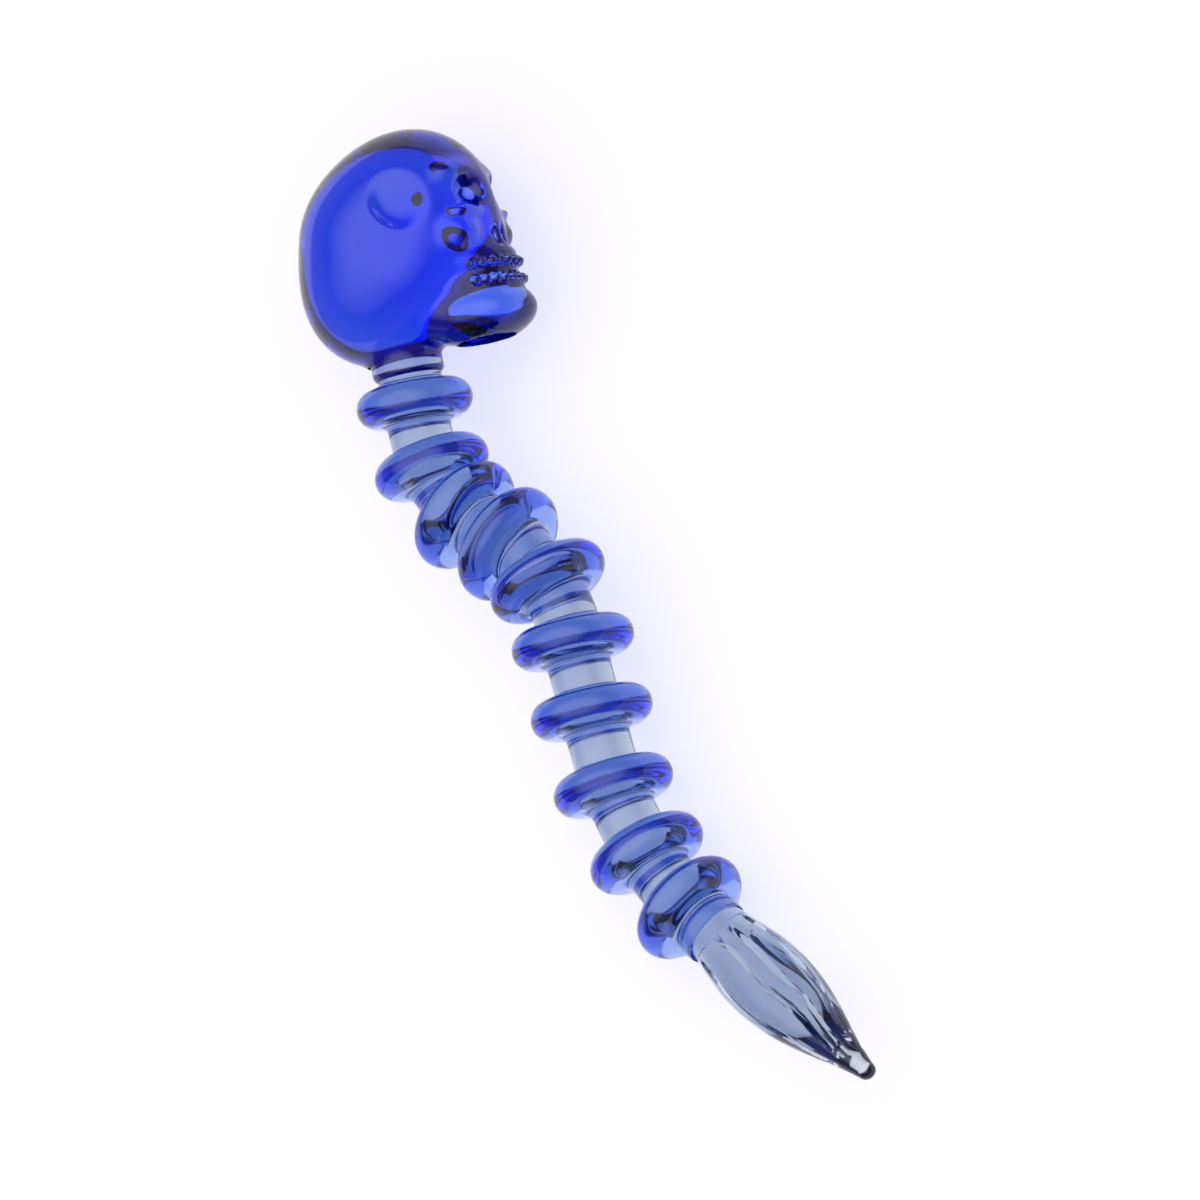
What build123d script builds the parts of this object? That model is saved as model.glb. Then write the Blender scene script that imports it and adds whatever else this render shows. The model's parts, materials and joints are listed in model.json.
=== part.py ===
from build123d import *
import os

# Glass dip pen: a bent solid rod with ten fused rings, a skull finial and a fluted nib.
# Every piece is first set out along the rod's own bend plane (x along the pen, y across the
# bends, z square to them). The whole pen is then laid down the way it rests on a table: on the
# cheek side of the skull and the rims of the last two rings, with the nib in the air.

# ---- Driving dimensions, millimetres and degrees ----

ROD_RADIUS = 5.0
ROD_START = (-53.0, 1.7)
ROD_BENDS = [(-30.5, -6.5), (-8.3, 6.8), (35.8, -5.4)]
ROD_BEND_RADII = [24.0, 22.0, 54.0]
ROD_AIM = (89.1, 14.0)

RING_STATIONS = [8.4, 18.9, 28.8, 38.4, 48.1, 58.8, 70.2, 82.3, 94.5, 106.2]
RING_DIAMETERS = [18.4, 18.6, 19.0, 19.4, 19.2, 19.4, 19.4, 19.1, 18.8, 19.0]
RING_LEANS = [-1.0, -5.0, 4.0, -4.0, -6.0, -3.0, -3.0, -5.0, -4.0, 1.0]
RING_THICKNESS = 6.0

NECK_COLLAR_RADIUS = 6.2
NECK_COLLAR_LENGTH = 2.6
NECK_COLLAR_ROUND = 0.8

NIB_STATION = 111.0
NIB_BASE_RADIUS = 4.7
NIB_BELLY_RADIUS = 6.8
NIB_BELLY_AT = 11.5
NIB_SHANK_RADIUS = 5.9
NIB_SHANK_AT = 21.5
NIB_WAIST_RADIUS = 3.9
NIB_WAIST_AT = 28.4
NIB_LENGTH = 38.4
NIB_POINT_RADIUS = 1.5
BASE_FLARE = (0.4, 1)
POINT_TAPER = (-0.1, 1)

FLUTE_ANGLES = [8, 50, 90, 132, 162, 206, 248, 288, 328]
FLUTE_WIDTH = 0.9
FLUTE_DEPTH = 0.9
FLUTE_START = 4.0
FLUTE_END = 35.5

NIB_COLLAR_RADIUS = 5.7
NIB_COLLAR_START = 109.5
NIB_COLLAR_LENGTH = 3.4

SKULL_TWIST = 14.0
CRANIUM_CENTRE = (2.2, 0.0, 16.2)
CRANIUM_HALF = (15.9, 14.5, 16.5)
FOREHEAD_CENTRE = (6.7, 0.0, 20.7)
FOREHEAD_HALF = (12.8, 11.7, 13.6)
OCCIPUT_CENTRE = (-2.6, 0.0, 10.0)
OCCIPUT_HALF = (12.1, 11.6, 12.1)
FACE_CENTRE = (12.0, 0.0, 14.2)
FACE_HALF = (9.6, 9.6, 9.2)
MOUTH_HEIGHT = 9.4
JAW_CENTRE = (14.6, 0.0, 3.6)
JAW_HALF = (9.7, 8.6, 7.2)
SOCKET_CENTRE = (17.9, 5.5, 21.0)
SOCKET_HALF = (4.0, 3.2, 3.2)
NOSE_CENTRE = (21.4, 0.0, 15.0)
NOSE_HALF = (3.0, 1.6, 2.4)
CHEEK_CENTRE = (16.0, 7.8, 14.7)
CHEEK_RADIUS = 3.2

TOOTH_RADIUS = 0.85
TOOTH_COUNT = 12
TOOTH_ARC_SPREAD = 60.0
UPPER_TOOTH_HEIGHT = MOUTH_HEIGHT + 1.0
UPPER_ARC_CENTRE = 12.3
UPPER_ARC_HALF = (8.6, 8.4)
LOWER_TOOTH_HEIGHT = MOUTH_HEIGHT - 1.0
LOWER_ARC_CENTRE = 14.2
LOWER_ARC_HALF = (7.6, 6.6)

REST_ROLL = 11.6
REST_PITCH = 1.66


# ---- The rod and its stations ----

def rod_path():
    """The rod's centre line from the skull to the nib: straight runs joined by tangent arcs."""
    aim = FilletPolyline(ROD_START, *ROD_BENDS, ROD_AIM, radius=ROD_BEND_RADII)
    return aim.trim(0, NIB_STATION / aim.length)


def station(path, distance, lean=0.0):
    """The plane square to the rod at a distance from the skull, leaned within the bend plane."""
    along = path.tangent_at(distance, position_mode=PositionMode.LENGTH)
    place = path.position_at(distance, position_mode=PositionMode.LENGTH)
    return Plane(origin=place, x_dir=Vector(0, 0, -1), z_dir=along.rotate(Axis.Z, lean))


def core_rod(path):
    return sweep(station(path, 0) * Circle(ROD_RADIUS), path=path)


def round_edged_disc(radius, thickness, edge_radius):
    """A disc centred on its own middle, with its rim rounded to the edge radius."""
    disc = Cylinder(radius, thickness)
    return fillet(disc.edges().filter_by(GeomType.CIRCLE), edge_radius)


def ring(path, rod, index):
    """A wrap of glass pressed to a full-round disc, bored by the rod that it is fused to."""
    full_round = RING_THICKNESS / 2 * 0.99
    disc = round_edged_disc(RING_DIAMETERS[index] / 2, RING_THICKNESS, full_round)
    return station(path, RING_STATIONS[index], RING_LEANS[index]) * disc - rod


def neck_collar(path, rod):
    """The short flared wrap where the rod enters the skull."""
    wrap = round_edged_disc(NECK_COLLAR_RADIUS, NECK_COLLAR_LENGTH, NECK_COLLAR_ROUND)
    return station(path, NECK_COLLAR_LENGTH / 2) * wrap - rod


# ---- The nib, set out with y along it and x its radius ----

def nib_side(inset=0.0):
    """The nib's side from its base to the start of its round point."""
    shoulder = (NIB_BASE_RADIUS - inset, 0)
    belly = (NIB_BELLY_RADIUS - inset, NIB_BELLY_AT)
    shank = (NIB_SHANK_RADIUS - inset, NIB_SHANK_AT)
    waist = (NIB_WAIST_RADIUS - inset, NIB_WAIST_AT)
    neck = (NIB_POINT_RADIUS - inset, NIB_LENGTH - NIB_POINT_RADIUS)
    return Spline(shoulder, belly, shank, waist, neck, tangents=[BASE_FLARE, POINT_TAPER])


def nib_blank():
    side = nib_side()
    tip = ThreePointArc(side @ 1, round_point(45), (0, NIB_LENGTH))
    base = Line((0, 0), side @ 0)
    axis = Line((0, NIB_LENGTH), (0, 0))
    return revolve(make_face([base, side, tip, axis]), Axis.Y)


def round_point(angle):
    """A place on the nib's round point, by the angle up from its widest."""
    spoke = Vector(NIB_POINT_RADIUS, 0).rotate(Axis.Z, angle)
    return Vector(0, NIB_LENGTH - NIB_POINT_RADIUS) + spoke


def flute_cutter():
    """A thin blade whose inner edge follows the nib's side at the flute's depth."""
    side = nib_side(FLUTE_DEPTH)
    clear = NIB_BELLY_RADIUS + FLUTE_DEPTH
    base = Line((clear, 0), side @ 0)
    end = Line(side @ 1, (clear, (side @ 1).Y))
    back = Line(end @ 1, base @ 0)
    blade = extrude(make_face([base, side, end, back]), FLUTE_WIDTH / 2, both=True)
    reach = Box(4 * clear, FLUTE_END - FLUTE_START, 4 * clear)
    return blade & Pos(0, (FLUTE_START + FLUTE_END) / 2, 0) * reach


def nib(path):
    """The drawn point: a leaf-shaped body with narrow ink flutes between broad ribs."""
    body = nib_blank()
    blade = flute_cutter()
    for angle in FLUTE_ANGLES:
        body -= Rot(0, angle, 0) * blade
    return station(path, NIB_STATION) * (Rot(90, 0, 0) * body)


def nib_collar(path, rod, point):
    """The bead that covers the joint between the rod and the nib."""
    past_joint = NIB_COLLAR_START + NIB_COLLAR_LENGTH / 2 - NIB_STATION
    bead = round_edged_disc(NIB_COLLAR_RADIUS, NIB_COLLAR_LENGTH, NIB_COLLAR_LENGTH * 0.45)
    return station(path, NIB_STATION) * (Pos(0, 0, past_joint) * bead) - rod - point


# ---- The skull, x to its face and z to its crown, standing on the rod's end ----

def egg(centre, half):
    """An egg-shaped gather, with its surface seam turned to the back of the skull."""
    return Pos(*centre) * scale(Rot(0, 0, 180) * Sphere(1), by=half)


def bead(centre, radius):
    return egg(centre, (radius, radius, radius))


def skull_seat(path):
    """The plane on the rod's end that carries the skull: z away from the pen, x to the face."""
    up = path.tangent_at(0) * -1
    square_to_bends = Vector(0, 0, 1)
    forward = up.cross(square_to_bends).rotate(Axis((0, 0, 0), up), SKULL_TWIST)
    return Plane(origin=path @ 0, x_dir=forward, z_dir=up)


def head(mouth_cut):
    """Cranium and upper face in one gather, pressed in at the eyes and the nose."""
    solid = egg(CRANIUM_CENTRE, CRANIUM_HALF) + egg(FOREHEAD_CENTRE, FOREHEAD_HALF)
    solid += egg(OCCIPUT_CENTRE, OCCIPUT_HALF)
    solid += egg(FACE_CENTRE, FACE_HALF) - mouth_cut
    x, y, z = SOCKET_CENTRE
    for side in (-1, 1):
        solid -= egg((x, y * side, z), SOCKET_HALF)
    return solid - egg(NOSE_CENTRE, NOSE_HALF)


def below_mouth():
    size = 80.0
    return Pos(0, 0, MOUTH_HEIGHT - size / 2) * Box(size, size, size)


def tooth_row(height, arc_centre, arc_half, keep_clear):
    """Beads of glass set side by side round the mouth, each bedded in the face behind it."""
    beads = []
    step = 2 * TOOTH_ARC_SPREAD / (TOOTH_COUNT - 1)
    reach_x, reach_y = arc_half
    for number in range(TOOTH_COUNT):
        turn = Vector(1, 0, 0).rotate(Axis.Z, number * step - TOOTH_ARC_SPREAD)
        place = (arc_centre + reach_x * turn.X, reach_y * turn.Y, height)
        beads.append(bead(place, TOOTH_RADIUS) - keep_clear)
    return beads


# ---- Assembly ----

def lay_down(pieces):
    """Turn the pen to its rest on the table, with its box standing on z = 0 about the origin."""
    turn = Rot(0, REST_PITCH, 0) * Rot(REST_ROLL, 0, 0)
    turned = {name: turn * piece for name, piece in pieces.items()}
    box = Compound(list(turned.values())).bounding_box()
    middle = box.center()
    shift = Pos(-middle.X, -middle.Y, -box.min.Z)
    return {name: shift * piece for name, piece in turned.items()}


def build():
    path = rod_path()
    rod = core_rod(path)
    pieces = {"core_rod": rod}
    for index in range(len(RING_STATIONS)):
        pieces[f"ring_{index + 1:02d}"] = ring(path, rod, index)
    pieces["neck_collar"] = neck_collar(path, rod)
    pieces["nib"] = nib(path)
    pieces["nib_collar"] = nib_collar(path, rod, pieces["nib"])

    seat = skull_seat(path)
    under_mouth = below_mouth()
    skull = head(under_mouth)
    jaw = (egg(JAW_CENTRE, JAW_HALF) & under_mouth) - skull
    cheek_x, cheek_y, cheek_z = CHEEK_CENTRE
    cheeks = {}
    for name, side in (("cheekbone_right", -1), ("cheekbone_left", 1)):
        cheeks[name] = bead((cheek_x, cheek_y * side, cheek_z), CHEEK_RADIUS) - skull
    upper_row = tooth_row(UPPER_TOOTH_HEIGHT, UPPER_ARC_CENTRE, UPPER_ARC_HALF, skull)
    lower_row = tooth_row(LOWER_TOOTH_HEIGHT, LOWER_ARC_CENTRE, LOWER_ARC_HALF, jaw + skull)
    pieces["skull"] = seat * skull - rod - pieces["neck_collar"]
    pieces["jaw"] = seat * jaw - pieces["neck_collar"]
    for name, cheek in cheeks.items():
        pieces[name] = seat * cheek
    pieces["upper_teeth"] = seat * Compound(upper_row)
    pieces["lower_teeth"] = seat * Compound(lower_row)
    return lay_down(pieces)


def main():
    os.makedirs("parts", exist_ok=True)
    for name, piece in build().items():
        export_step(piece, f"parts/{name}.step")


if __name__ == "__main__":
    main()
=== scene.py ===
import json
import logging
import math
from dataclasses import dataclass, field
from enum import Enum

import bpy
import numpy as np
from mathutils import Matrix, Vector

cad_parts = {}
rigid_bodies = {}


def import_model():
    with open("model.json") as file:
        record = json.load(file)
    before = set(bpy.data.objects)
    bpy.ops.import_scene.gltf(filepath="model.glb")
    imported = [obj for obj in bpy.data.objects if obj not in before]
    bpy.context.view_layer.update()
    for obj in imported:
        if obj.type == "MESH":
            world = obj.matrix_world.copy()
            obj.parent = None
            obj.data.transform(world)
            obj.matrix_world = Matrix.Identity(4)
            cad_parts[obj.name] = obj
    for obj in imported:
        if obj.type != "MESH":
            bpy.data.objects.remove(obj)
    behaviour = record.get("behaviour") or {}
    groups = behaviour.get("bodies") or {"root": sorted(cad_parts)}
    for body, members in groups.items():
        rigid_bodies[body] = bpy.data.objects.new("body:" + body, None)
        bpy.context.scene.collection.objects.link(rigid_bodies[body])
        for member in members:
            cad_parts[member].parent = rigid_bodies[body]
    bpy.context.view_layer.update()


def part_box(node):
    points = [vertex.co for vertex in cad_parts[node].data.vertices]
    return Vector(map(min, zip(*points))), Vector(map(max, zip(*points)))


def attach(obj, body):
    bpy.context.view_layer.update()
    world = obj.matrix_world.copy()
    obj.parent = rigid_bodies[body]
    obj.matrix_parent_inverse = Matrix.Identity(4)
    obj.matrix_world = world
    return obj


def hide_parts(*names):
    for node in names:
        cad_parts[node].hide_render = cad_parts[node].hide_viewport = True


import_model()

log = logging.getLogger("dip_pen")

MM = 0.001
BODY = "root"
WELD = "weld"
WELD_GAP = 0.02


# ---- Small helpers ----

def linear(hex_colour: str) -> tuple[float, float, float, float]:
    """Turn an sRGB hex colour to linear light.

    Args:
        hex_colour: six hex digits, with or without a leading #.

    Returns:
        Red, green, blue and an alpha of one.
    """
    digits = hex_colour.lstrip("#")
    parts = [int(digits[at:at + 2], 16) / 255 for at in (0, 2, 4)]
    red, green, blue = (p / 12.92 if p <= 0.04045 else ((p + 0.055) / 1.055) ** 2.4 for p in parts)
    return red, green, blue, 1.0


def add_node(tree: bpy.types.NodeTree, kind: str, settings: dict | None = None,
             links: dict | None = None) -> bpy.types.Node:
    """Add a node with its settings and its incoming links.

    Args:
        tree: the node tree it goes into.
        kind: the node's type name.
        settings: attributes by name, and socket values by input name or number.
        links: output sockets by input name or number.

    Returns:
        The new node.
    """
    node = tree.nodes.new(kind)
    for key, value in (settings or {}).items():
        if isinstance(key, str) and hasattr(node, key):
            setattr(node, key, value)
        else:
            node.inputs[key].default_value = value
    for key, socket in (links or {}).items():
        tree.links.new(socket, node.inputs[key])
    return node


def smooth_step(value: np.ndarray | float, low: float, high: float) -> np.ndarray | float:
    """Rise from nought at low to one at high with no corner at either end."""
    share = np.clip((value - low) / (high - low), 0.0, 1.0)
    return share * share * (3 - 2 * share)


def turn_about(axis: int, degrees: float) -> np.ndarray:
    """Make a right-handed turn about one of the three axes.

    Args:
        axis: 0, 1 or 2 for x, y or z.
        degrees: how far to turn.

    Returns:
        The 3 by 3 matrix.
    """
    cosine, sine = math.cos(math.radians(degrees)), math.sin(math.radians(degrees))
    first, second = (axis + 1) % 3, (axis + 2) % 3
    turn = np.eye(3)
    turn[first, first] = turn[second, second] = cosine
    turn[second, first], turn[first, second] = sine, -sine
    return turn


# ---- Where things are ----

@dataclass(frozen=True)
class BendLine:
    """The rod's centre line in its bend plane: straight runs joined by tangent arcs, in mm."""

    start: tuple[float, float] = (-53.0, 1.7)
    bends: tuple[tuple[float, float], ...] = ((-30.5, -6.5), (-8.3, 6.8), (35.8, -5.4))
    radii: tuple[float, ...] = (24.0, 22.0, 54.0)
    aim: tuple[float, float] = (89.1, 14.0)

    def runs(self) -> list[tuple[np.ndarray, float, float, float]]:
        """Divide the line into its runs.

        Returns:
            Each run's start, heading in radians, length in mm and curvature, nought where straight.
        """
        corners = [np.array(p) for p in (self.start, *self.bends, self.aim)]
        runs = []
        here = corners[0]
        for number, corner in enumerate(corners[1:]):
            heading = math.atan2(*(corner - corners[number])[::-1])
            if number == len(self.bends):
                runs.append((here, heading, float(np.linalg.norm(corner - here)), 0.0))
                break
            after = corners[number + 2] - corner
            swing = math.atan2(after[1], after[0]) - heading
            radius = self.radii[number]
            setback = radius * math.tan(abs(swing) / 2)
            way = np.array([math.cos(heading), math.sin(heading)])
            straight = float(np.dot(corner - here, way)) - setback
            runs.append((here, heading, straight, 0.0))
            here = here + way * straight
            runs.append((here, heading, radius * abs(swing), math.copysign(1 / radius, swing)))
            here = corner + after / np.linalg.norm(after) * setback
        return runs

    def at(self, distance: float) -> tuple[np.ndarray, float]:
        """Find a place on the line.

        Args:
            distance: millimetres from the start, and past either end it runs on straight.

        Returns:
            The point in the bend plane and the heading there in radians.
        """
        runs = self.runs()
        for number, (here, heading, length, curve) in enumerate(runs):
            if distance <= length or number == len(runs) - 1:
                break
            distance -= length
        if curve == 0.0 or distance < 0:
            return here + distance * np.array([math.cos(heading), math.sin(heading)]), heading
        swing = distance * curve
        chord = np.array([
            math.sin(heading + swing) - math.sin(heading),
            math.cos(heading) - math.cos(heading + swing),
        ]) / curve
        return here + chord, heading + swing


@dataclass(frozen=True)
class PenFrame:
    """Carries the pen's own bend plane to the way it lies on the table."""

    line: BendLine
    roll: float = 11.6
    pitch: float = 1.66
    ring_stations: tuple[float, ...] = (8.4, 18.9, 28.8, 38.4, 48.1, 58.8, 70.2, 82.3, 94.5, 106.2)
    skull_twist: float = 14.0

    def turn(self) -> np.ndarray:
        """Give the turn from the bend plane to the table."""
        return turn_about(1, self.pitch) @ turn_about(0, self.roll)

    def shift(self) -> np.ndarray:
        """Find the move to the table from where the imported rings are.

        Returns:
            The move in mm.
        """
        moves = []
        for number, distance in enumerate(self.ring_stations):
            low, high = (np.array(corner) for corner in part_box(f"ring_{number + 1:02d}"))
            point = np.append(self.line.at(distance)[0], 0.0)
            moves.append((low + high) / 2 / MM - self.turn() @ point)
        return np.mean(moves, axis=0)

    def station(self, distance: float, lean: float = 0.0) -> tuple[np.ndarray, np.ndarray]:
        """Give the plane square to the rod at a distance, leaned within the bend plane.

        Args:
            distance: millimetres along the rod from the skull.
            lean: degrees.

        Returns:
            The origin, and a matrix whose columns are the plane's x, y and normal.
        """
        point, heading = self.line.at(distance)
        heading += math.radians(lean)
        normal = np.array([math.cos(heading), math.sin(heading), 0.0])
        across = np.array([0.0, 0.0, -1.0])
        axes = np.column_stack([across, np.cross(normal, across), normal])
        return self.place(np.append(point, 0.0)), self.turn() @ axes

    def place(self, points: np.ndarray) -> np.ndarray:
        """Carry points of the bend plane's frame to the table."""
        return points @ self.turn().T + self._shift()

    def _shift(self) -> np.ndarray:
        """Give the move to the table, worked out once."""
        if "shift" not in _kept:
            _kept["shift"] = self.shift()
        return _kept["shift"]

    def skull_seat(self) -> tuple[np.ndarray, np.ndarray]:
        """Give the skull's seat at the start of the rod.

        Returns:
            Its origin, and a matrix whose columns point to the face, to the upper side and to
            the crown.
        """
        point, heading = self.line.at(0.0)
        up = -np.array([math.cos(heading), math.sin(heading), 0.0])
        level = np.cross(up, [0.0, 0.0, 1.0])
        side = np.cross(up, level)
        swing = math.radians(self.skull_twist)
        face = level * math.cos(swing) + side * math.sin(swing)
        near = -np.cross(up, face)
        axes = np.column_stack([face, near, up])
        return self.place(np.append(point, 0.0)), self.turn() @ axes


_kept: dict[str, np.ndarray] = {}


# ---- Hot-glass mesh making ----

@dataclass
class Tube:
    """A tube of glass drawn out row by row from a circle, then brought to its shape.

    It is drawn straight, one unit a row, so that each point's row and turn can be read from
    where it stands. The rows are then moved to their true places.
    """

    name: str
    sides: int
    rows: list[np.ndarray] = field(default_factory=list)
    welds: list[bool] = field(default_factory=list)

    def row(self, points: np.ndarray, weld: bool = False) -> None:
        """Add a row of points, and say whether the band that ends at it is fused to a neighbour."""
        self.rows.append(points)
        self.welds.append(weld)

    def draw(self, closed: bool, cap_welds: tuple[bool, bool] = (False, False)) -> bpy.types.Object:
        """Draw the tube.

        Args:
            closed: the last row meets the first, as on a ring.
            cap_welds: whether the start and end caps are fused to a neighbour.

        Returns:
            The finished object.
        """
        bpy.ops.object.select_all(action="DESELECT")
        bpy.ops.mesh.primitive_circle_add(vertices=self.sides, radius=1.0, enter_editmode=True)
        thing = bpy.context.object
        thing.name = thing.data.name = self.name
        for _ in self.rows[1:]:
            bpy.ops.mesh.extrude_edges_move(TRANSFORM_OT_translate={"value": (0, 0, 1)})
        bpy.ops.object.mode_set(mode="OBJECT")
        mesh = thing.data
        drawn = np.empty(len(mesh.vertices) * 3, dtype=np.float32)
        mesh.vertices.foreach_get("co", drawn)
        drawn = drawn.reshape(-1, 3)
        row = np.rint(drawn[:, 2]).astype(int)
        turn = np.rint(np.arctan2(drawn[:, 1], drawn[:, 0]) / (2 * math.pi) * self.sides).astype(int)
        turn %= self.sides
        band = np.empty(len(mesh.polygons) * 3, dtype=np.float32)
        mesh.polygons.foreach_get("center", band)
        band_row = np.floor(band.reshape(-1, 3)[:, 2]).astype(int) + 1
        flags = np.array(self.welds, dtype=np.float32)[band_row]
        table = np.array(self.rows)
        places = (table[row, turn] * MM).astype(np.float32)
        mesh.vertices.foreach_set("co", places.ravel())
        mesh.attributes.new(WELD, "FLOAT", "FACE").data.foreach_set("value", flags)
        mesh.update()
        bpy.ops.object.mode_set(mode="EDIT")
        bpy.ops.mesh.select_all(action="SELECT")
        if closed:
            bpy.ops.mesh.remove_doubles(threshold=WELD_GAP * MM / 50)
        else:
            bpy.ops.mesh.select_all(action="DESELECT")
            bpy.ops.mesh.select_non_manifold(extend=False)
            bpy.ops.mesh.edge_face_add()
        bpy.ops.mesh.select_all(action="SELECT")
        bpy.ops.mesh.normals_make_consistent(inside=False)
        bpy.ops.object.mode_set(mode="OBJECT")
        if not closed:
            self._mark_caps(mesh, cap_welds)
        return finish_mesh(thing)

    def _mark_caps(self, mesh: bpy.types.Mesh, cap_welds: tuple[bool, bool]) -> None:
        """Say which of the two end caps is fused to a neighbour.

        Args:
            mesh: the drawn tube.
            cap_welds: for the start and the end.
        """
        first = Vector(self.rows[0].mean(axis=0) * MM)
        last = Vector(self.rows[-1].mean(axis=0) * MM)
        flags = mesh.attributes[WELD].data
        for polygon in mesh.polygons:
            if len(polygon.vertices) > 4:
                at_start = (polygon.center - first).length < (polygon.center - last).length
                flags[polygon.index].value = float(cap_welds[0] if at_start else cap_welds[1])


def finish_mesh(thing: bpy.types.Object, sharp_above: float = 40.0) -> bpy.types.Object:
    """Shade a piece smooth, with creases kept sharp, and say that it rides on the pen.

    Args:
        thing: the piece.
        sharp_above: degrees between two faces past which the edge stays sharp.

    Returns:
        The same piece.
    """
    bpy.ops.object.select_all(action="DESELECT")
    thing.select_set(True)
    bpy.context.view_layer.objects.active = thing
    bpy.ops.object.shade_smooth_by_angle(angle=math.radians(sharp_above))
    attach(thing, BODY)
    return thing


def circle_angles(sides: int) -> np.ndarray:
    """Give the turn of each side of a drawn circle, in radians."""
    return np.arange(sides) * 2 * math.pi / sides


# ---- The rod and what is wrapped on it ----

@dataclass(frozen=True)
class RodForm:
    """The rod's size and its slight unevenness, shared by all that is fused to it, in mm."""

    radius: float = 5.0
    uneven: float = 0.006
    drift: tuple[float, float] = (0.11, 0.07)
    sides: int = 128

    def loop(self, pen: PenFrame, distance: float, lean: float, gap: float = 0.0) -> np.ndarray:
        """Give the rod's section on a leaned plane.

        Args:
            pen: where the rod's line lies.
            distance: millimetres along the rod.
            lean: degrees.
            gap: how far outside the rod, in mm.

        Returns:
            One point for each side.
        """
        origin, axes = pen.station(distance, lean)
        angles = circle_angles(self.sides)
        sag = np.cos(2 * angles + distance * self.drift[0]) + np.sin(angles - distance * self.drift[1])
        radius = self.radius * (1 + self.uneven * sag * 0.5) + gap
        return origin + (np.outer(np.cos(angles), axes[:, 0]) + np.outer(np.sin(angles), axes[:, 1])) \
            * radius[:, None]


@dataclass
class Ring:
    """A wrap of hot glass pressed to a round-edged disc and fused to the rod."""

    name: str
    station: float
    diameter: float
    lean: float
    thickness: float = 6.0
    upper_foot: float = 0.7
    lower_foot: float = 1.2
    out_of_round: float = 0.012
    phase: float = 0.0
    free_height: float = 1.6
    bore_rows: int = 11
    upper_foot_rows: int = 7
    rim_rows: int = 31
    lower_foot_rows: int = 9

    def half(self) -> float:
        """Half of the ring's thickness."""
        return self.thickness / 2

    def foot_span(self) -> tuple[float, float]:
        """Where its feet start and end along the rod."""
        return self.station - self.half() - self.upper_foot, self.station + self.half() + self.lower_foot

    def bore_stations(self) -> np.ndarray:
        """The rod's rows beneath the ring."""
        return np.linspace(*self.foot_span(), self.bore_rows)

    def profile(self, rod_radius: float) -> list[tuple[float, float]]:
        """Give the ring's outer side from foot to foot.

        Args:
            rod_radius: the radius that the feet run out on, in mm.

        Returns:
            Places along the rod from the ring's middle, and radii.
        """
        half, rim = self.half(), self.diameter / 2
        crown = rim - half
        points = []
        for turn in np.linspace(0, 90, self.upper_foot_rows)[1:]:
            reach = self.upper_foot * (1 - math.sin(math.radians(turn)))
            rise = self.upper_foot * (1 - math.cos(math.radians(turn)))
            points.append((-half - reach, rod_radius + rise))
        points.append((-half, (rod_radius + self.upper_foot + crown) / 2))
        for turn in np.linspace(180, 0, self.rim_rows):
            along = half * math.cos(math.radians(turn))
            points.append((along, crown + half * math.sin(math.radians(turn))))
        points.append((half, (rod_radius + self.lower_foot + crown) / 2))
        for turn in np.linspace(90, 0, self.lower_foot_rows)[:-1]:
            reach = self.lower_foot * (1 - math.sin(math.radians(turn)))
            rise = self.lower_foot * (1 - math.cos(math.radians(turn)))
            points.append((half + reach, rod_radius + rise))
        return points

    def build(self, pen: PenFrame, rod: RodForm) -> bpy.types.Object:
        """Build the ring round the rod.

        Args:
            pen: where the rod's line lies.
            rod: the rod's form, which the bore follows.

        Returns:
            The ring.
        """
        tube = Tube(self.name, rod.sides)
        bore = self.bore_stations()
        tube.row(rod.loop(pen, bore[0], self.lean, WELD_GAP))
        centre, axes = pen.station(self.station, self.lean)
        angles = circle_angles(rod.sides)
        spokes = np.outer(np.cos(angles), axes[:, 0]) + np.outer(np.sin(angles), axes[:, 1])
        swell = 1 + self.out_of_round * np.cos(2 * angles + self.phase) * 0.5
        for along, radius in self.profile(rod.radius):
            follow = rod.loop(pen, self.station + along, self.lean, radius - rod.radius + WELD_GAP)
            rigid = centre + axes[:, 2] * along + spokes * (radius * swell)[:, None]
            share = smooth_step(radius, rod.radius, rod.radius + self.free_height)
            tube.row(follow * (1 - share) + rigid * share)
        for distance in bore[::-1]:
            tube.row(rod.loop(pen, distance, self.lean, WELD_GAP), weld=distance != bore[-1])
        return tube.draw(closed=True)


@dataclass
class Collar:
    """A short bead of glass over a joint."""

    name: str
    start: float
    end: float
    start_radius: float
    middle_radius: float
    end_radius: float
    lean: float = 0.0
    start_weld: bool = False
    end_weld: bool = False
    fullness: float = 0.7
    bore_rows: int = 7
    outer_rows: int = 25

    def bore_stations(self) -> np.ndarray:
        """The rod's rows beneath the collar."""
        return np.linspace(self.start, self.end, self.bore_rows)

    def build(self, pen: PenFrame, rod: RodForm) -> bpy.types.Object:
        """Build the collar round the rod.

        Args:
            pen: where the rod's line lies.
            rod: the rod's form, which the bore follows.

        Returns:
            The collar.
        """
        tube = Tube(self.name, rod.sides)
        bore = self.bore_stations()
        tube.row(rod.loop(pen, bore[0], self.lean, WELD_GAP))
        for share in np.linspace(0, 1, self.outer_rows):
            bulge = math.sin(math.pi * share) ** self.fullness
            base = self.start_radius * (1 - share) + self.end_radius * share
            radius = base + (self.middle_radius - base) * bulge
            along = self.start + (self.end - self.start) * share
            fused = share == 0.0 and self.start_weld
            tube.row(rod.loop(pen, along, self.lean, radius - rod.radius), weld=fused)
        for distance in bore[::-1]:
            fused = distance != bore[-1] or self.end_weld
            tube.row(rod.loop(pen, distance, self.lean, WELD_GAP), weld=fused)
        return tube.draw(closed=True)


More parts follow.
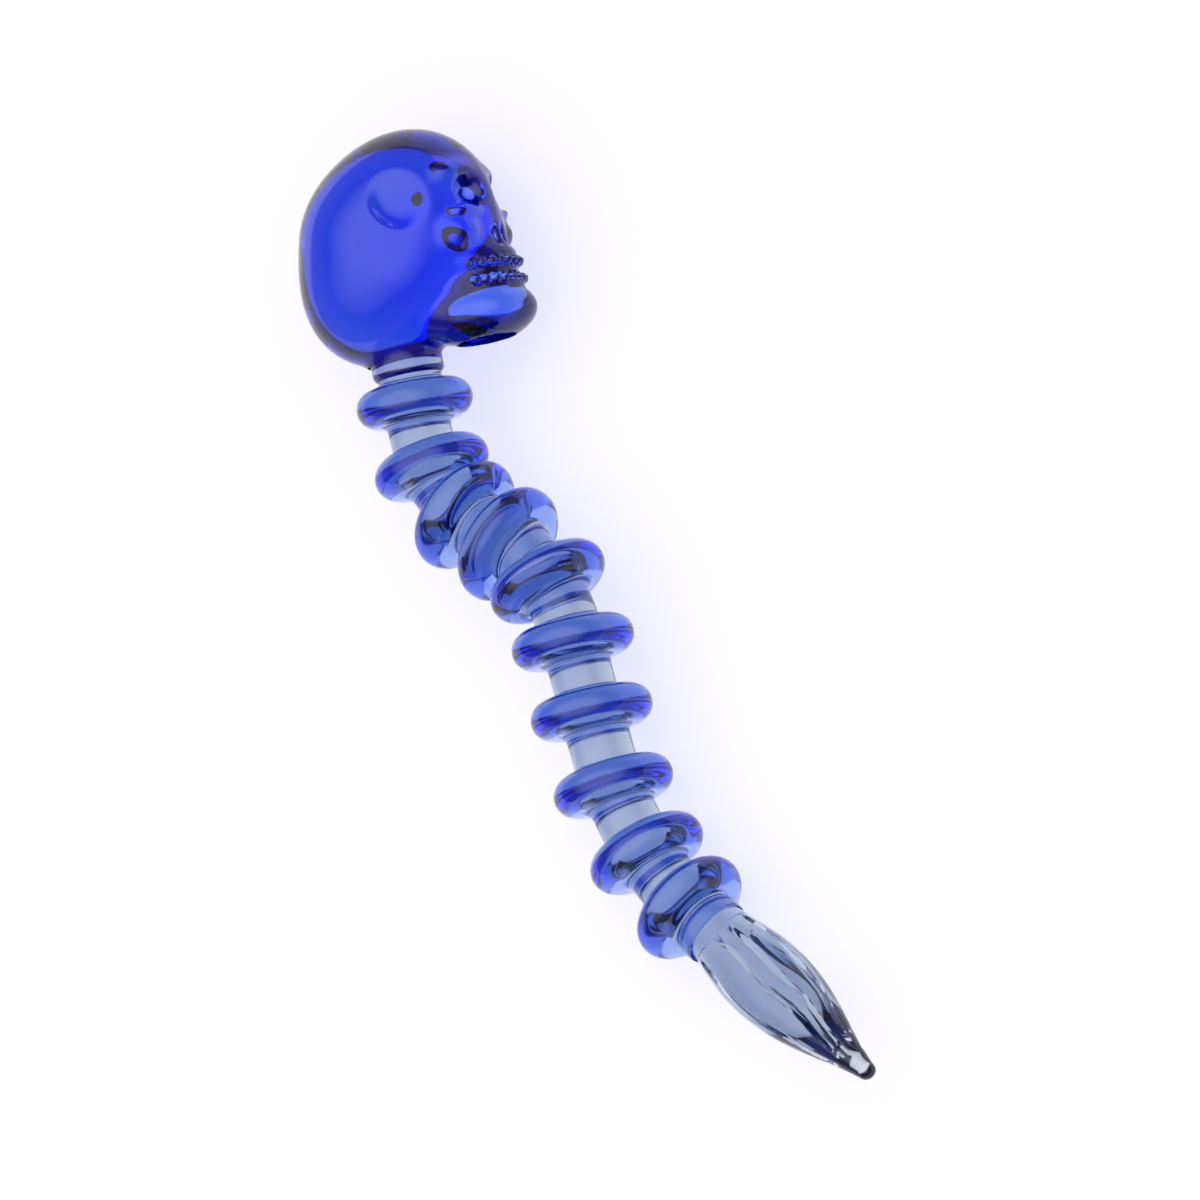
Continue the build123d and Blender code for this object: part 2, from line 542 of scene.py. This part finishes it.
@dataclass
class Rod:
    """The pen's solid core, with bands where the wraps are fused to it."""

    form: RodForm
    start: float
    end: float
    pitch: float = 0.6

    def build(self, pen: PenFrame, wraps: list[tuple[np.ndarray, float]]) -> bpy.types.Object:
        """Build the rod.

        Args:
            pen: where the rod's line lies.
            wraps: the rows beneath each wrap and the wrap's lean, in order along the rod.

        Returns:
            The rod.
        """
        tube = Tube("core_rod_glass", self.form.sides)
        here, lean = self.start, wraps[0][1]
        if wraps[0][0][0] > here:
            tube.row(self.form.loop(pen, here, lean))
        for rows, wrap_lean in wraps:
            count = max(1, math.ceil((rows[0] - here) / self.pitch))
            for share in np.linspace(0, 1, count + 1)[1:-1]:
                tube.row(self.form.loop(pen, here + (rows[0] - here) * share,
                                        lean + (wrap_lean - lean) * share))
            for number, distance in enumerate(rows):
                tube.row(self.form.loop(pen, distance, wrap_lean), weld=number > 0)
            here, lean = rows[-1], wrap_lean
        if here < self.end:
            tube.row(self.form.loop(pen, self.end, lean))
        return tube.draw(closed=False, cap_welds=(True, True))


# ---- The nib ----

@dataclass
class Nib:
    """The drawn point, a leaf-shaped body with narrow ink flutes between broad ribs, in mm."""

    start: float = 111.0
    length: float = 38.4
    stops: tuple[tuple[float, float], ...] = (
        (0.0, 5.0), (1.8, 5.1), (5.9, 5.8), (11.5, 6.6), (16.4, 6.6), (21.5, 5.9), (25.8, 4.75),
        (28.5, 3.9), (32.0, 2.75), (35.4, 1.85), (36.9, 1.5),
    )
    point_radius: float = 1.5
    flutes: tuple[float, ...] = (40, 97, 135, 160, 214, 260, 305, 350)
    flute_width: float = 1.15
    flute_depth: float = 1.6
    flute_span: tuple[float, float] = (4.2, 34.0)
    flute_run_in: float = 3.0
    flute_run_out: float = 5.0
    full_depth_radius: float = 4.5
    flute_sharpness: float = 1.15
    twist: float = 24.0
    twist_from: float = 0.55
    wander: float = 0.03
    wander_rate: float = 0.45
    lobe_depth: float = 0.018
    lobe_count: int = 3
    lobe_rate: float = 0.13
    lobe_run_in: tuple[float, float] = (2.0, 8.0)
    bow: float = 1.2
    bow_middle: float = 0.52
    bow_level: float = 0.08
    sides: int = 360
    row_pitch: float = 0.32
    root_rows: int = 6
    point_rows: int = 14

    def radius(self, along: np.ndarray) -> np.ndarray:
        """The body's radius at places along it, a smooth curve through the stops."""
        where = np.array([s for s, _ in self.stops])
        sizes = np.array([r for _, r in self.stops])
        return cubic_through(where, sizes, along)

    def build(self, pen: PenFrame, collar_end: float) -> bpy.types.Object:
        """Build the nib on the rod's end.

        Args:
            pen: where the rod's line lies.
            collar_end: where the collar over the joint ends, in mm along the rod.

        Returns:
            The nib.
        """
        tube = Tube("nib_glass", self.sides)
        origin, axes = pen.station(self.start)
        angles = circle_angles(self.sides)
        body_end = self.length - self.point_radius
        rows = list(np.linspace(0, collar_end - self.start, self.root_rows))
        rows += list(np.linspace(rows[-1], body_end, math.ceil(body_end / self.row_pitch)))[1:]
        base_radii = self.radius(np.array(rows))
        for number, (along, radius) in enumerate(zip(rows, base_radii)):
            self._row(tube, origin, axes, angles, along, float(radius),
                      0 < number < self.root_rows)
        for turn in np.linspace(0, 90, self.point_rows)[1:-1]:
            along = body_end + self.point_radius * math.sin(math.radians(turn))
            radius = self.point_radius * math.cos(math.radians(turn))
            self._row(tube, origin, axes, angles, along, radius, False)
        return tube.draw(closed=False, cap_welds=(True, False))

    def _row(self, tube: Tube, origin: np.ndarray, axes: np.ndarray, angles: np.ndarray,
             along: float, radius: float, weld: bool) -> None:
        """Add one row of the nib, with its flutes.

        Args:
            tube: the tube that the row goes to.
            origin: the nib's root.
            axes: columns across the nib and along it.
            angles: the turn of each side, in radians.
            along: millimetres from the root.
            radius: the body's radius there, in mm.
            weld: the band that ends here is fused to the collar.
        """
        turn = math.radians(self.twist) * smooth_step(along, self.length * self.twist_from, self.length)
        turn += self.wander * math.sin(along * self.wander_rate)
        cut = np.zeros_like(angles)
        first, last = self.flute_span
        enter = smooth_step(along, first, first + self.flute_run_in)
        leave = 1 - smooth_step(along, last - self.flute_run_out, last)
        depth = self.flute_depth * enter * leave * min(1.0, radius / self.full_depth_radius)
        for flute in self.flutes:
            away = (angles - math.radians(flute) + math.pi) % (2 * math.pi) - math.pi
            across = np.abs(away) * radius / (self.flute_width * 0.5)
            cut = np.maximum(cut, depth * np.clip(1 - across ** self.flute_sharpness, 0, 1))
        angles = angles + turn
        lobes = self.lobe_depth * np.cos(angles * self.lobe_count + along * self.lobe_rate)
        sizes = radius * (1 + lobes * smooth_step(along, *self.lobe_run_in)) - cut
        sway = self.bow * ((along / self.length - self.bow_middle) ** 2 - self.bow_level)
        middle = origin + axes[:, 2] * along + axes[:, 1] * sway
        spokes = np.outer(np.cos(angles), axes[:, 0]) + np.outer(np.sin(angles), axes[:, 1])
        tube.row(middle + spokes * sizes[:, None], weld=weld)


def cubic_through(where: np.ndarray, sizes: np.ndarray, along: np.ndarray) -> np.ndarray:
    """Read a smooth curve through given stops.

    Args:
        where: the stops' places, rising.
        sizes: the curve's value at each.
        along: the places to read it at.

    Returns:
        The values there.
    """
    slopes = np.gradient(sizes, where)
    at = np.clip(np.searchsorted(where, along, side="right") - 1, 0, len(where) - 2)
    width = where[at + 1] - where[at]
    share = (along - where[at]) / width
    low, high = sizes[at], sizes[at + 1]
    rise, fall = slopes[at] * width, slopes[at + 1] * width
    cube, square = share ** 3, share ** 2
    return low * (2 * cube - 3 * square + 1) + rise * (cube - 2 * square + share) \
        + high * (3 * square - 2 * cube) + fall * (cube - square)


# ---- The skull ----

def blend_in(total: np.ndarray, away: np.ndarray, blend: float) -> np.ndarray:
    """Join two fields with a fillet of about the blend's size."""
    share = np.clip(0.5 + 0.5 * (total - away) / blend, 0, 1)
    return total * (1 - share) + away * share - blend * share * (1 - share)


@dataclass(frozen=True)
class Gather:
    """An egg of hot glass, added to the head or pressed into it, in the skull's own mm."""

    centre: tuple[float, float, float]
    half: tuple[float, float, float]
    blend: float
    pressed: bool = False

    def distance(self, points: np.ndarray) -> np.ndarray:
        """About how far points are outside it."""
        half = np.array(self.half)
        scaled = (points - np.array(self.centre)) / half
        size = np.sqrt(np.einsum("ij,ij->i", scaled, scaled))
        scaled /= half
        return size * (size - 1) / (np.sqrt(np.einsum("ij,ij->i", scaled, scaled)) + 1e-9)

    def join(self, total: np.ndarray, points: np.ndarray) -> np.ndarray:
        """Add it to a field, or press it in."""
        away = self.distance(points)
        if not self.pressed:
            return blend_in(total, away, self.blend)
        share = np.clip(0.5 - 0.5 * (total + away) / self.blend, 0, 1)
        return total * (1 - share) - away * share + self.blend * share * (1 - share)


@dataclass
class Skull:
    """The finial: one gather of glass pressed and pinched to a small skull."""

    cut: float = 1.6
    neck_radius: float = 5.3
    neck_reach: float = 5.0
    neck_blend: float = 2.5
    gathers: tuple[Gather, ...] = (
        Gather((2.2, 0.0, 16.1), (15.55, 14.3, 15.95), 0.1),  # cranium
        Gather((6.66, 0.0, 20.7), (12.5, 11.5, 12.9), 4.0),  # forehead
        Gather((-2.6, 0.0, 10.0), (11.6, 11.3, 11.8), 3.0),  # back of the head
        Gather((10.8, 0.0, 14.6), (8.6, 8.8, 8.8), 2.5),  # face
        Gather((13.4, 0.0, 10.4), (7.9, 7.3, 4.2), 1.6),  # upper jaw
        Gather((14.1, 0.0, 2.4), (8.9, 7.9, 4.8), 3.0),  # chin
        Gather((13.9, 0.0, 6.6), (7.6, 6.8, 3.0), 1.8),  # bed of the lower teeth
        Gather((15.0, 4.8, 24.5), (2.6, 3.6, 1.5), 2.0),  # brow
        Gather((15.5, 6.9, 14.9), (3.2, 2.9, 2.7), 1.8),  # cheekbone
        Gather((16.6, 5.2, 18.0), (2.5, 3.8, 1.2), 0.9),  # lower rim of the eye
        Gather((17.2, 0.0, 18.2), (1.9, 1.5, 6.2), 1.2),  # bridge of the nose
        Gather((18.5, 4.7, 21.2), (3.3, 2.5, 2.4), 1.3, pressed=True),  # eye socket
        Gather((20.2, 1.5, 13.9), (1.9, 1.0, 1.9), 0.5, pressed=True),  # nostril
        Gather((10.6, 13.5, 22.4), (5.8, 2.6, 5.8), 1.0, pressed=True),  # temple
    )
    mouth_height: float = 8.0
    tooth_radius: float = 0.7
    teeth_a_side: int = 6
    tooth_spread: float = 66.0
    tooth_centre: float = 13.6
    tooth_rows: tuple[tuple[float, tuple[float, float]], ...] = (
        (1.5, (8.0, 7.2)), (-1.3, (8.2, 7.2)),
    )
    tooth_blend: float = 0.2
    mouth_reach: float = 3.0
    mouth_front: float = 8.0
    core: tuple[float, float, float] = (4.0, 0.0, 14.0)
    outside: float = 26.0
    march_steps: int = 28
    march_share: float = 0.85
    slope_step: float = 0.02
    settle_rounds: int = 10
    settle_pull: float = 0.6
    settle_hold: float = 0.9
    sharp_above: float = 50.0

    def teeth(self) -> list[Gather]:
        """Place the beads of the two rows of teeth.

        Returns:
            The beads of one half of the face, which the field gives to both.
        """
        beads = []
        for above, reach in self.tooth_rows:
            for number in range(self.teeth_a_side):
                swing = math.radians(self.tooth_spread * (2 * number + 1) / (2 * self.teeth_a_side - 1))
                centre = (self.tooth_centre + reach[0] * math.cos(swing), reach[1] * math.sin(swing),
                          self.mouth_height + above)
                beads.append(Gather(centre, (self.tooth_radius,) * 3, self.tooth_blend))
        return beads

    def field(self, points: np.ndarray) -> np.ndarray:
        """Tell about how far points are outside the head, which is the same on both sides.

        Args:
            points: places in the skull's own mm.

        Returns:
            Distances, which are negative inside.
        """
        points = points * (1, 0, 1) + np.abs(points) * (0, 1, 0)
        total = self.gathers[0].distance(points)
        for gather in self.gathers[1:]:
            total = gather.join(total, points)
        by_mouth = np.abs(points[:, 2] - self.mouth_height) < self.mouth_reach
        by_mouth &= points[:, 0] > self.mouth_front
        near = points[by_mouth]
        mouth = total[by_mouth]
        for tooth in self.teeth():
            mouth = tooth.join(mouth, near)
        total[by_mouth] = mouth
        neck = np.hypot(points[:, 0], points[:, 1]) - self.neck_radius
        neck = np.maximum(neck, np.abs(points[:, 2]) - self.neck_reach)
        return blend_in(total, neck, self.neck_blend)

    def surface(self, ways: np.ndarray, core: np.ndarray) -> np.ndarray:
        """Find where lines from the core leave the head."""
        reach = np.full(len(ways), self.outside)
        for _ in range(self.march_steps):
            reach -= self.field(core + ways * reach[:, None]) * self.march_share
        return core + ways * reach[:, None]

    def slope(self, points: np.ndarray) -> np.ndarray:
        """The way straight out of the head at points, of length one."""
        step = self.slope_step
        ways = np.column_stack([
            self.field(points + step * way) - self.field(points - step * way) for way in np.eye(3)
        ])
        return ways / (np.linalg.norm(ways, axis=1)[:, None] + 1e-9)

    def settle(self, points: np.ndarray, edges: np.ndarray, rounds: int) -> np.ndarray:
        """Even out the spacing of points that lie on the head, keeping them on it.

        Args:
            points: the points.
            edges: pairs of neighbours.
            rounds: how many times to even them out.

        Returns:
            The moved points.
        """
        count = np.bincount(edges.ravel(), minlength=len(points))[:, None]
        for _ in range(rounds):
            pull = np.zeros_like(points)
            for axis in range(3):
                pull[:, axis] = np.bincount(edges[:, 0], points[edges[:, 1], axis], len(points)) \
                    + np.bincount(edges[:, 1], points[edges[:, 0], axis], len(points))
            pull = pull / count - points
            out = self.slope(points)
            points = points + self.settle_pull * (pull - out * np.sum(pull * out, axis=1)[:, None])
            points = points - out * self.field(points)[:, None] * self.settle_hold
        return points

    def build(self, pen: PenFrame) -> bpy.types.Object:
        """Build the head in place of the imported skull's nodes.

        Args:
            pen: where the rod's line lies.

        Returns:
            The head, cut flat at the neck.
        """
        bpy.ops.object.select_all(action="DESELECT")
        bpy.ops.mesh.primitive_ico_sphere_add(subdivisions=7, radius=1.0)
        thing = bpy.context.object
        thing.name = thing.data.name = "skull_glass"
        mesh = thing.data
        ways = np.empty(len(mesh.vertices) * 3, dtype=np.float32)
        mesh.vertices.foreach_get("co", ways)
        ways = ways.reshape(-1, 3).astype(float)
        ways /= np.linalg.norm(ways, axis=1)[:, None]
        edges = np.empty(len(mesh.edges) * 2, dtype=np.int32)
        mesh.edges.foreach_get("vertices", edges)
        points = self.surface(ways, np.array(self.core))
        points = self.settle(points, edges.reshape(-1, 2), self.settle_rounds)
        origin, axes = pen.skull_seat()
        placed = points @ axes.T + origin
        mesh.vertices.foreach_set("co", (placed * MM).astype(np.float32).ravel())
        mesh.attributes.new(WELD, "FLOAT", "FACE")
        mesh.update()
        self._cut_neck(thing, origin, axes)
        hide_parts("skull", "jaw", "cheekbone_left", "cheekbone_right",
                    "upper_teeth", "lower_teeth")
        return finish_mesh(thing, self.sharp_above)

    def _cut_neck(self, thing: bpy.types.Object, origin: np.ndarray, axes: np.ndarray) -> None:
        """Cut the head flat where the rod's core meets it, and mark the cut as fused.

        Args:
            thing: the head.
            origin: the skull's seat.
            axes: columns whose last points to the crown.
        """
        place = (origin - axes[:, 2] * self.cut) * MM
        bpy.ops.object.mode_set(mode="EDIT")
        bpy.ops.mesh.select_all(action="SELECT")
        bpy.ops.mesh.bisect(plane_co=tuple(place), plane_no=tuple(axes[:, 2]), use_fill=True,
                            clear_inner=True)
        bpy.ops.mesh.select_all(action="SELECT")
        bpy.ops.mesh.normals_make_consistent(inside=False)
        bpy.ops.object.mode_set(mode="OBJECT")
        flags = thing.data.attributes[WELD].data
        for polygon in thing.data.polygons:
            flags[polygon.index].value = float(len(polygon.vertices) > 8)


# ---- Finishes ----

@dataclass(frozen=True)
class Glass:
    """Transparent soda-lime glass tinted with cobalt, flame-worked and fire-polished.

    Cobalt ions take out red, orange and green light, so the tint deepens with thickness. The
    flame leaves a bright skin with slow, shallow waves.
    """

    name: str
    colour: str
    density: float
    ior: float = 1.5
    wave_mm: float = 7.0
    wave_lift_mm: float = 0.006

    def material(self) -> bpy.types.Material:
        """Make the material.

        Returns:
            Clear glass with the tint in its volume, and nothing to see where it is fused.
        """
        made = bpy.data.materials.new(self.name)
        made.use_nodes = True
        tree = made.node_tree
        tree.nodes.clear()
        place = add_node(tree, "ShaderNodeTexCoord")
        waves = add_node(tree, "ShaderNodeTexNoise",
                         {"Scale": 1 / (self.wave_mm * MM), "Detail": 1.0, "Roughness": 0.4},
                         {"Vector": place.outputs["Object"]})
        skin = add_node(tree, "ShaderNodeBump", {"Strength": 1.0, "Distance": self.wave_lift_mm * MM},
                        {"Height": waves.outputs["Fac"]})
        fused = add_node(tree, "ShaderNodeAttribute", {"attribute_name": WELD})
        solid = add_node(tree, "ShaderNodeMath", {"operation": "SUBTRACT", 0: 1.0},
                         {1: fused.outputs["Fac"]})
        surface = add_node(tree, "ShaderNodeBsdfPrincipled",
                           {"Base Color": (1, 1, 1, 1), "Roughness": 0.0, "IOR": self.ior,
                            "Transmission Weight": 1.0},
                           {"Normal": skin.outputs["Normal"], "Alpha": solid.outputs["Value"]})
        body = add_node(tree, "ShaderNodeVolumeAbsorption",
                        {"Color": linear(self.colour), "Density": self.density})
        add_node(tree, "ShaderNodeOutputMaterial", None,
                 {"Surface": surface.outputs["BSDF"], "Volume": body.outputs["Volume"]})
        return made


class Melt(Enum):
    """The two strengths of cobalt glass in the pen."""

    DEEP = Glass("deep_cobalt_glass_fire_polished", "49a4f6", 175.0)
    PALE = Glass("pale_cobalt_glass_fire_polished", "98b4d6", 145.0)


# ---- Studio ----

@dataclass(frozen=True)
class Studio:
    """A pale table, soft light and the camera."""

    toward: tuple[float, float, float] = (0.3544, 0.3354, 0.8726)
    up: tuple[float, float, float] = (-0.8287, 0.5455, 0.1268)
    aim_from_bends_mm: tuple[float, float, float] = (-1.7, 9.5, -2.9)
    distance_mm: float = 3100.0
    lens_mm: float = 600.0
    floor_size: float = 6.0
    floor_drop: float = 0.0002
    floor_grey: float = 0.9
    sky: tuple[tuple[float, tuple[float, float, float]], ...] = (
        (0.0, (0.40, 0.25, 0.15)), (0.5, (0.24, 0.18, 0.14)), (0.85, (1.95, 1.95, 2.0)),
    )

    def camera(self, pen: PenFrame) -> None:
        """Place the camera.

        Args:
            pen: where the pen lies; the aim is beside the middle of its bends.
        """
        data = bpy.data.cameras.new("studio_camera")
        data.lens = self.lens_mm
        data.sensor_width = 36.0
        data.clip_start = 0.05
        data.clip_end = 20.0
        camera = bpy.data.objects.new("studio_camera", data)
        bpy.context.scene.collection.objects.link(camera)
        toward = Vector(self.toward).normalized()
        up = Vector(self.up)
        right = up.cross(toward).normalized()
        up = toward.cross(right)
        turn = Matrix((right, up, toward)).transposed().to_4x4()
        aim = pen.place(np.zeros(3)) + np.array(self.aim_from_bends_mm)
        place = (Vector(aim) + toward * self.distance_mm) * MM
        camera.matrix_world = Matrix.Translation(place) @ turn
        bpy.context.scene.camera = camera

    def floor(self) -> None:
        """Lay the plain pale floor."""
        bpy.ops.object.select_all(action="DESELECT")
        bpy.ops.mesh.primitive_plane_add(size=self.floor_size,
                                         location=(0, 0, -self.floor_drop))
        floor = bpy.context.object
        floor.name = "studio_floor"
        paint = bpy.data.materials.new("studio_floor_matt_white")
        paint.use_nodes = True
        shader = paint.node_tree.nodes["Principled BSDF"]
        shader.inputs["Base Color"].default_value = (self.floor_grey,) * 3 + (1.0,)
        shader.inputs["Roughness"].default_value = 0.9
        floor.data.materials.append(paint)

    def world(self) -> None:
        """Light the pen with one broad, soft source overhead that fades to a dimmer, warm horizon."""
        world = bpy.data.worlds.new("studio_world")
        bpy.context.scene.world = world
        world.use_nodes = True
        tree = world.node_tree
        tree.nodes.clear()
        place = add_node(tree, "ShaderNodeTexCoord")
        split = add_node(tree, "ShaderNodeSeparateXYZ", None, {"Vector": place.outputs["Generated"]})
        ramp = add_node(tree, "ShaderNodeValToRGB", None, {"Fac": split.outputs["Z"]})
        stops = ramp.color_ramp.elements
        stops.new(self.sky[1][0])
        for stop, (height, colour) in zip(stops, self.sky):
            stop.position = height
            stop.color = (*colour, 1.0)
        light = add_node(tree, "ShaderNodeBackground", {"Strength": 1.0}, {"Color": ramp.outputs["Color"]})
        add_node(tree, "ShaderNodeOutputWorld", None, {"Surface": light.outputs["Background"]})

    def pass_light(self) -> None:
        """Keep the clear glass from casting the solid shadow of an opaque body."""
        for piece in bpy.data.objects:
            if piece.name.endswith("_glass"):
                piece.visible_shadow = False

    def set_up(self, pen: PenFrame) -> None:
        """Build the whole studio.

        Args:
            pen: where the pen lies.
        """
        self.camera(pen)
        self.floor()
        self.world()
        self.pass_light()
        scene = bpy.context.scene
        scene.view_settings.view_transform = "Standard"
        scene.cycles.max_bounces = 32
        scene.cycles.transmission_bounces = 28
        scene.cycles.glossy_bounces = 6
        scene.cycles.transparent_max_bounces = 64


# ---- The whole pen ----

RING_DIAMETERS = (18.4, 18.6, 19.0, 19.4, 19.2, 19.4, 19.4, 19.1, 18.8, 19.0)
RING_LEANS = (-1.0, -5.0, 4.0, -4.0, -6.0, -3.0, -3.0, -5.0, -4.0, 1.0)
RING_PHASE_STEP = 1.3


def main() -> None:
    """Build the pen's pieces in order, dress them and set up the studio."""
    logging.basicConfig(level=logging.INFO, format="%(name)s: %(message)s")
    pen = PenFrame(BendLine())
    form = RodForm()
    glasses = {melt: melt.value.material() for melt in Melt}
    made = []

    skull = Skull()
    made.append(skull.build(pen))
    neck = Collar("neck_collar_glass", start=1.62, end=4.3, start_radius=5.75, middle_radius=5.7,
                  end_radius=5.04, start_weld=True)
    neck_glass = neck.build(pen, form)
    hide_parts("neck_collar")
    made.append(neck_glass)
    wraps = [(neck.bore_stations(), 0.0)]
    for number, distance in enumerate(pen.ring_stations):
        name = f"ring_{number + 1:02d}"
        ring = Ring(f"{name}_glass", distance, RING_DIAMETERS[number], RING_LEANS[number],
                    phase=number * RING_PHASE_STEP)
        glass_ring = ring.build(pen, form)
        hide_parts(name)
        made.append(glass_ring)
        wraps.append((ring.bore_stations(), ring.lean))
    collar = Collar("nib_collar_glass", start=109.9, end=112.9, start_radius=5.04,
                    middle_radius=5.7, end_radius=5.5, end_weld=True)
    nib = Nib()
    nib_glass = nib.build(pen, collar.end)
    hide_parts("nib")
    collar_glass = collar.build(pen, form)
    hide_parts("nib_collar")
    made += [collar_glass, nib_glass]
    rows = collar.bore_stations()
    wraps.append((rows[rows < nib.start - WELD_GAP], 0.0))
    rod = Rod(form, skull.cut + WELD_GAP, nib.start - WELD_GAP)
    rod_glass = rod.build(pen, wraps)
    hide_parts("core_rod")
    made.append(rod_glass)
    for thing in made:
        thing.data.materials.clear()
        melt = Melt.PALE if thing in (rod_glass, nib_glass) else Melt.DEEP
        thing.data.materials.append(glasses[melt])
        log.info("%s: %d points, %d faces", thing.name, len(thing.data.vertices),
                 len(thing.data.polygons))
    Studio().set_up(pen)


if __name__ == "__main__":
    main()
